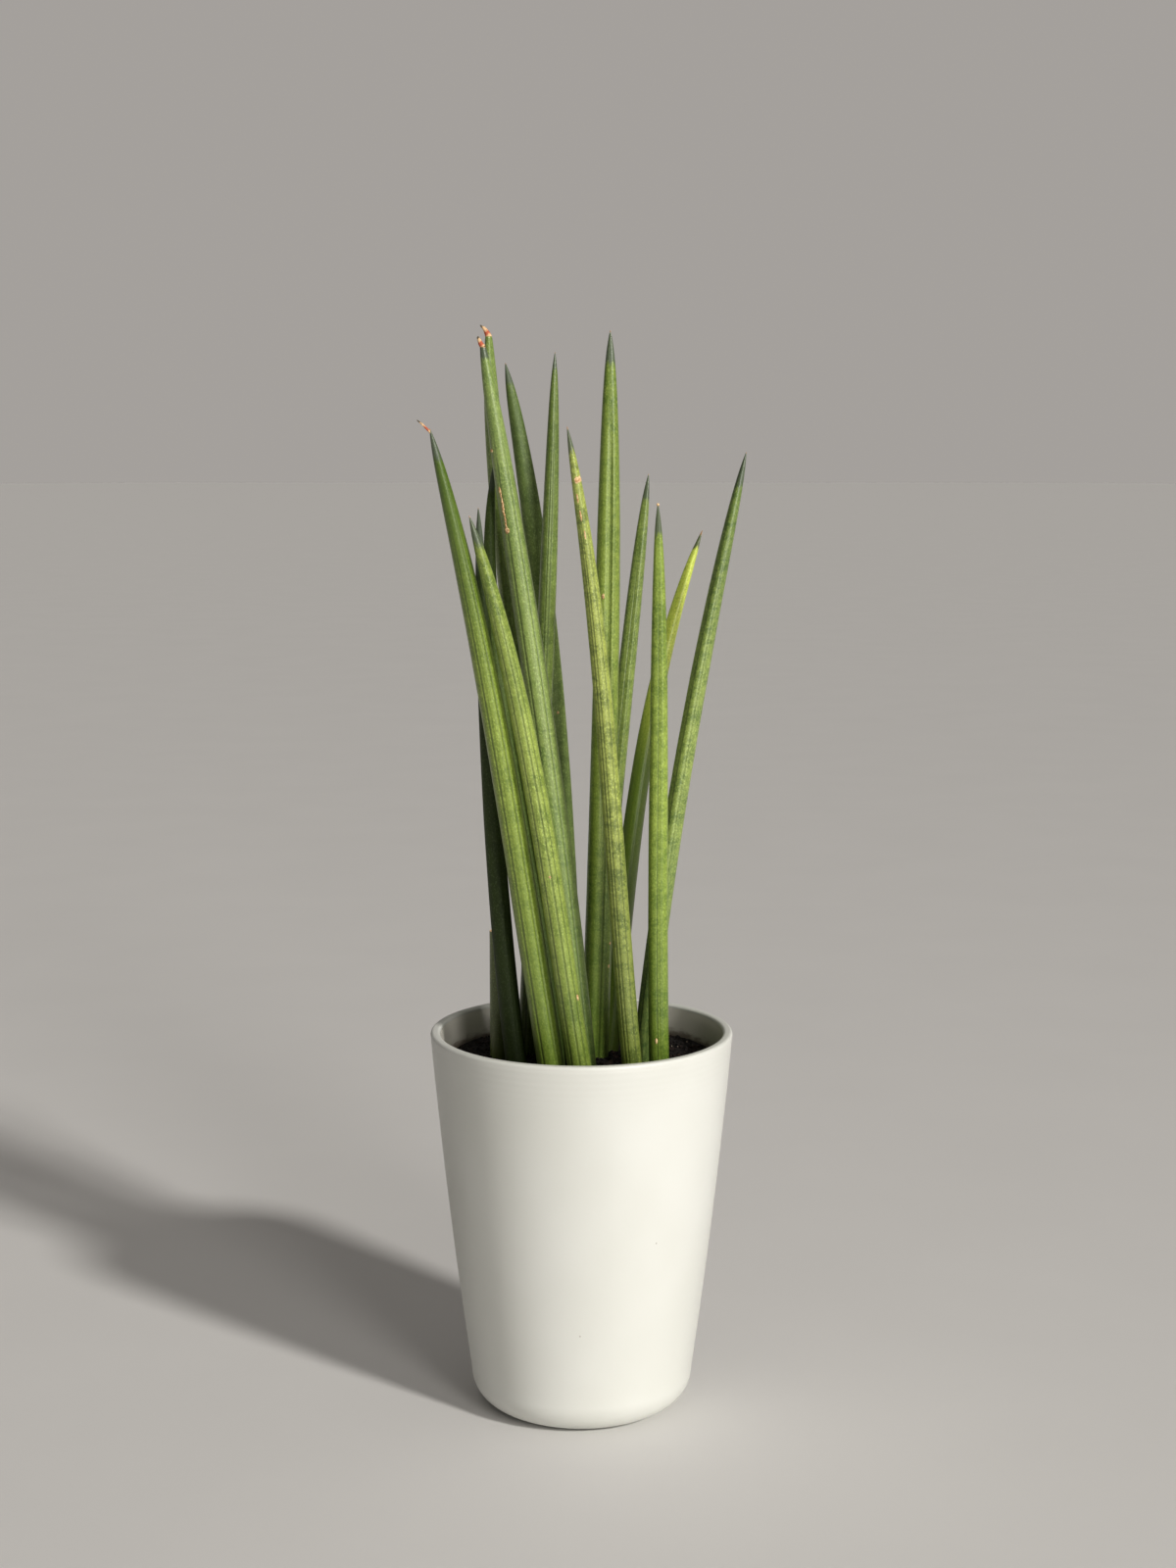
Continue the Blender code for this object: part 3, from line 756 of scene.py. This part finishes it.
class Leaf:
    """The form of one leaf, from its row. Distances along it are measured down from its tip."""

    def __init__(self, name, row):
        self.name = name
        self.thickness, self.taper_length, tip_height, channel, self.places = row
        self.height = tip_height - SOIL_LEVEL
        self.channel = math.radians(channel)
        self.chance = random.Random(name)
        self.wobble_start = self.chance.uniform(0.0, 100.0)
        self.furrows = [self.new_furrow(number) for number in range(FURROW_COUNT)]
        self.groove = GROOVES.get(name)
        self.blunt = BLUNT_TIPS.get(name, 0.0)
        for facing in DEEP_FURROWS.get(name, ()):
            drift = self.chance.uniform(-DEEP_FURROW_DRIFT, DEEP_FURROW_DRIFT)
            self.furrows.append((math.radians(facing), drift, 1.0, *DEEP_FURROW_REACH))

    def new_furrow(self, number):
        """Angle at the foot, drift up the leaf, strength, and where it starts and stops."""
        angle = math.tau * (number + self.chance.uniform(-FURROW_STRAY, FURROW_STRAY)) / FURROW_COUNT
        drift = self.chance.uniform(-FURROW_DRIFT, FURROW_DRIFT)
        strength = self.chance.choice(FURROW_STRENGTHS)
        start = self.chance.uniform(*FURROW_STARTS)
        stop = self.chance.uniform(*FURROW_STOPS)
        return angle, drift, strength, start, stop

    def middle(self, below_tip):
        """Middle of the leaf; under the soil it goes straight down."""
        share = max(0.0, 1.0 - below_tip / self.height)
        x, y = through_four(self.places, share)
        return Vector((x, y, SOIL_LEVEL + self.height - below_tip))

    def radius(self, below_tip):
        """Radius of the leaf before its channel and furrows are taken off."""
        root = max(0.0, below_tip - self.height) / ROOT_DEPTH
        full = 0.5 * self.thickness * (1.0 - (1.0 - ROOT_END_SHARE) * root)
        if not self.taper_length:
            return full
        reach = (min(below_tip, self.height) + self.blunt) / self.taper_length
        needle = 1.0 - NEEDLE_SHARE * math.exp(-below_tip / NEEDLE_LENGTH)
        if self.blunt:
            needle = math.sqrt(max(0.0, 1.0 - max(0.0, 1.0 - below_tip / BLUNT_ROUNDING) ** 2))
        wave = noise.noise(Vector((below_tip / WOBBLE_LENGTH, self.wobble_start, 0.0)))
        wobble = 1.0 + THICKNESS_WOBBLE * wave * min(1.0, below_tip / WOBBLE_LENGTH)
        return full * wobble * needle * math.sqrt(reach / math.sqrt(1.0 + reach * reach))

    def furrow(self, below_tip, angle):
        """How deep a place is in a furrow, from 0 to 1."""
        deepest = 0.0
        for start_angle, drift, strength, start, stop in self.furrows:
            off = turn_between(start_angle + drift * (1.0 - below_tip / self.height), angle)
            if abs(off) > 3.0 * FURROW_HALF_WIDTH:
                continue
            fade_in = max(0.0, (below_tip - start) / FURROW_FADE_IN)
            fade_out = max(0.0, (stop - below_tip) / FURROW_FADE_OUT)
            deepest = max(deepest, strength * min(1.0, fade_in, fade_out) * bell(off, FURROW_HALF_WIDTH))
        return deepest

    def in_groove(self, below_tip, angle):
        """Share of the radius that the deeper groove takes off here."""
        if not self.groove:
            return 0.0
        facing, half_width, depth = self.groove
        off = turn_between(math.radians(facing), angle)
        fade = min(1.0, max(0.0, (below_tip - GROOVE_START) / GROOVE_FADE_IN))
        return depth * fade * bell(off, math.radians(half_width))

    def skin(self, below_tip, angle):
        """Point of the skin at this angle round the leaf, and its depth in a furrow."""
        off = turn_between(self.channel, angle)
        strength = min(1.0, CHANNEL_AT_FOOT + max(0.0, 1.0 - below_tip / self.height))
        channel = CHANNEL_DEPTH * strength * bell(off, CHANNEL_HALF_WIDTH)
        furrow = self.furrow(below_tip, angle)
        reach = self.radius(below_tip) * (1.0 - channel) * (1.0 - FURROW_DEPTH * furrow)
        reach *= 1.0 - self.in_groove(below_tip, angle)
        outwards = Vector((math.cos(angle), math.sin(angle), 0.0))
        return self.middle(below_tip) + reach * outwards, furrow


def close_up(bm):
    """Joins the two edges of a rolled sheet and closes both of its ends."""
    bmesh.ops.remove_doubles(bm, verts=bm.verts, dist=MERGE_DISTANCE)
    bmesh.ops.holes_fill(bm, edges=[edge for edge in bm.edges if edge.is_boundary], sides=0)


def leaf_body(leaf):
    """The leaf as a flat sheet rolled round its middle line and closed at both ends."""
    bm = bmesh.new()
    bmesh.ops.create_grid(bm, x_segments=LEAF_SIDES, y_segments=LEAF_RINGS, size=0.5)
    straight = bm.verts.layers.float_vector.new("leaf_mm")
    furrow_depth = bm.verts.layers.float.new("furrow")
    bm.verts.layers.float.new("dryness")
    for vert in bm.verts:
        angle = math.tau * (vert.co.x + 0.5)
        below_tip = (leaf.height + ROOT_DEPTH) * (0.5 - vert.co.y) ** TIP_CROWDING
        vert.co, vert[furrow_depth] = leaf.skin(below_tip, angle)
        radius = leaf.radius(below_tip)
        vert[straight] = Vector((radius * math.cos(angle), radius * math.sin(angle), below_tip))
    close_up(bm)
    return bm


def hollow_the_cut(bm):
    """The flat cut has dried: a thin rim stands round a sunken face."""
    bm.faces.ensure_lookup_table()
    top = max(bm.faces, key=lambda face: face.calc_center_median().z + face.calc_area())
    rim = bmesh.ops.inset_region(bm, faces=[top], thickness=CUT_RIM, depth=0.0)["faces"]
    bmesh.ops.inset_region(bm, faces=[top], thickness=CUT_SLOPE, depth=-CUT_SINK)
    for face in [top, *rim, *{other for edge in top.edges for other in edge.link_faces}]:
        face.material_index = 1


def add_scab(bm, leaf, place, chance):
    """A raised scab, flattened on to the skin and half sunk in it."""
    below_tip, facing, length, width, height = place
    angle = math.radians(facing)
    point, _ = leaf.skin(below_tip, angle)
    along = (leaf.middle(max(0.0, below_tip - 1.0)) - leaf.middle(below_tip + 1.0)).normalized()
    around = Vector((-math.sin(angle), math.cos(angle), 0.0))
    around = (around - along * around.dot(along)).normalized()
    outwards = around.cross(along).normalized()
    made = bmesh.ops.create_icosphere(bm, subdivisions=3, radius=1.0)["verts"]
    shift = Vector((chance.uniform(0.0, 50.0), 0.0, 0.0))
    for vert in made:
        vert.co *= 1.0 + SCAB_UNEVENNESS * noise.noise(SCAB_LUMPS * vert.co + shift)
    shape = Matrix((0.5 * width * around, 0.5 * length * along, height * outwards)).transposed()
    bmesh.ops.transform(bm, matrix=Matrix.Translation(point) @ shape.to_4x4(), verts=made)
    for face in {face for vert in made for face in vert.link_faces}:
        face.material_index = 2


def add_scar_line(bm, leaf, chance):
    """A long healed scratch: a broken row of small scabs."""
    for flake in range(SCAR_LINE_FLAKES):
        share = flake / (SCAR_LINE_FLAKES - 1)
        below_tip = part_way(SCAR_LINE_ENDS, share)
        stray = chance.uniform(-SCAR_LINE_STRAY, SCAR_LINE_STRAY)
        facing = part_way(SCAR_LINE_FACING, share) + stray
        size = [chance.uniform(smallest, largest) for smallest, largest in SCAR_FLAKE_SIZES]
        add_scab(bm, leaf, (below_tip, facing, *size), chance)


def dry_curl(leaf, row):
    """A dried end that curls over from the tip of a leaf: a pinched thread that the skin runs out in."""
    below_tip, bend, stop, bend_width, end_width = row
    tip = leaf.middle(0.0)
    path = (leaf.middle(below_tip), tip + Vector(bend), tip + Vector(stop))
    widths = (CURL_START_WIDTH * leaf.radius(below_tip), bend_width, end_width)
    depth = Vector((0.0, 1.0, 0.0))
    bm = bmesh.new()
    bmesh.ops.create_grid(bm, x_segments=CURL_SIDES, y_segments=CURL_RINGS, size=0.5)
    dryness = bm.verts.layers.float.new("dryness")
    for vert in bm.verts:
        angle = math.tau * (vert.co.x + 0.5)
        along = vert.co.y + 0.5
        vert[dryness] = along
        shares = ((1 - along) ** 2, 2 * along * (1 - along), along ** 2)
        middle = sum((point * share for point, share in zip(path, shares)), Vector())
        width = sum(size * share for size, share in zip(widths, shares))
        heading = (path[1] - path[0]).lerp(path[2] - path[1], along).normalized()
        sideways = heading.cross(depth).normalized()
        creases = noise.noise(Vector((CURL_PINCHES * along, 0.6 * math.cos(angle), 2.0)))
        pinch = 1.0 + CURL_PINCH * along * creases
        reach = 0.5 * width * pinch * math.sqrt(max(0.0, 1.0 - along ** CURL_BLUNTNESS))
        vert.co = middle + reach * (math.cos(angle) * sideways + CURL_FLATNESS * math.sin(angle) * depth)
    close_up(bm)
    for face in bm.faces:
        face.material_index = 1
    return bm


def make_leaf(leaf, dry_tip, scab):
    """One leaf with its scabs and its dried end; it replaces the solid of the same name."""
    bm = leaf_body(leaf)
    if not leaf.taper_length:
        hollow_the_cut(bm)
    for place in SCABS.get(leaf.name, ()):
        add_scab(bm, leaf, place, leaf.chance)
    if leaf.name == SCAR_LINE_LEAF:
        add_scar_line(bm, leaf, leaf.chance)
    if leaf.name in DRY_CURLS:
        take_in(bm, dry_curl(leaf, DRY_CURLS[leaf.name]))
    skin = leaf_skin(leaf.name, LEAF_LOOKS[leaf.name], leaf.height, leaf.chance)
    piece = finish_piece(leaf.name + "_grown", bm, [skin, dry_tip, scab], LEAF_SHARP_ANGLE)
    stand_for(piece, leaf.name)


def make_plant():
    leaves = [Leaf(name, row) for name, row in LEAVES.items()]
    dry_tip = dry_leaf_tip()
    scab = corky_scab()
    for leaf in leaves:
        make_leaf(leaf, dry_tip, scab)
    make_soil([(*leaf.places[0], leaf.radius(leaf.height)) for leaf in leaves])


def make_floor():
    bm = bmesh.new()
    bmesh.ops.create_circle(bm, cap_ends=True, segments=96, radius=FLOOR_RADIUS / MM)
    floor = finish_piece("floor", bm, [pale_floor()])


def pale_room():
    """A room with a pale wall behind the plant, dimmer walls elsewhere and a soft light overhead."""
    world = bpy.data.worlds.new("pale_room")
    world.use_nodes = True
    tree = world.node_tree
    way = add(tree, "ShaderNodeTexCoord", {}, {}, "Generated")
    rise = add(tree, "ShaderNodeSeparateXYZ", {}, {"Vector": way}, "Z")
    back = add(tree, "ShaderNodeSeparateXYZ", {}, {"Vector": way}, "Y")
    parts = (
        (back, from_to(*BACK_WALL_EDGE, OTHER_WALLS_STRENGTH, BACK_WALL_STRENGTH)),
        (rise, from_to(*WALL_TOP, 1.0, 0.0)),
        (rise, from_to(*OVERHEAD_EDGE, UPPER_ROOM_STRENGTH, CEILING_STRENGTH)),
    )
    walls, below_their_top, overhead = [
        add(tree, "ShaderNodeMapRange", SMOOTH, {"Value": value, **reach}, "Result")
        for value, reach in parts
    ]
    strength = weighted_sum(tree, ((walls, below_their_top), (overhead, 1.0)))
    background = tree.nodes["Background"]
    background.inputs["Color"].default_value = linear(ROOM_COLOUR)
    tree.links.new(strength, background.inputs["Strength"])
    return world


def place_lamp(name, kind, place):
    """A lamp that shines from a place, in metres, towards the middle of the scene."""
    lamp = bpy.data.lights.new(name, kind)
    lamp.color = linear(LAMP_COLOUR)[:3]
    holder = bpy.data.objects.new(name, lamp)
    holder.location = place
    holder.rotation_euler = Vector(place).to_track_quat("Z", "Y").to_euler()
    holder.visible_camera = False
    bpy.context.scene.collection.objects.link(holder)
    return lamp


def make_lights():
    """A key lamp at the right and in front, a tall soft strip beside it for the sheen, and the room."""
    key = place_lamp("key", "SUN", KEY_FROM)
    key.angle = KEY_SPREAD
    key.energy = KEY_STRENGTH
    strip = place_lamp("soft_strip", "AREA", STRIP_FROM)
    strip.shape = "RECTANGLE"
    strip.size, strip.size_y = STRIP_SIZE
    strip.spread = STRIP_SPREAD
    strip.energy = STRIP_POWER
    bpy.context.scene.world = pale_room()


def make_camera():
    data = bpy.data.cameras.new("camera")
    data.lens = CAMERA_LENS
    data.sensor_width = CAMERA_SENSOR
    camera = bpy.data.objects.new("camera", data)
    camera.location = CAMERA_PLACE
    camera.rotation_euler = (CAMERA_TILT, 0.0, 0.0)
    bpy.context.scene.collection.objects.link(camera)
    bpy.context.scene.camera = camera


bpy.context.scene.view_settings.view_transform = "Standard"
bpy.context.scene.view_settings.gamma = TONE_GAMMA
make_camera()
make_lights()
make_floor()
make_pot()
make_plant()
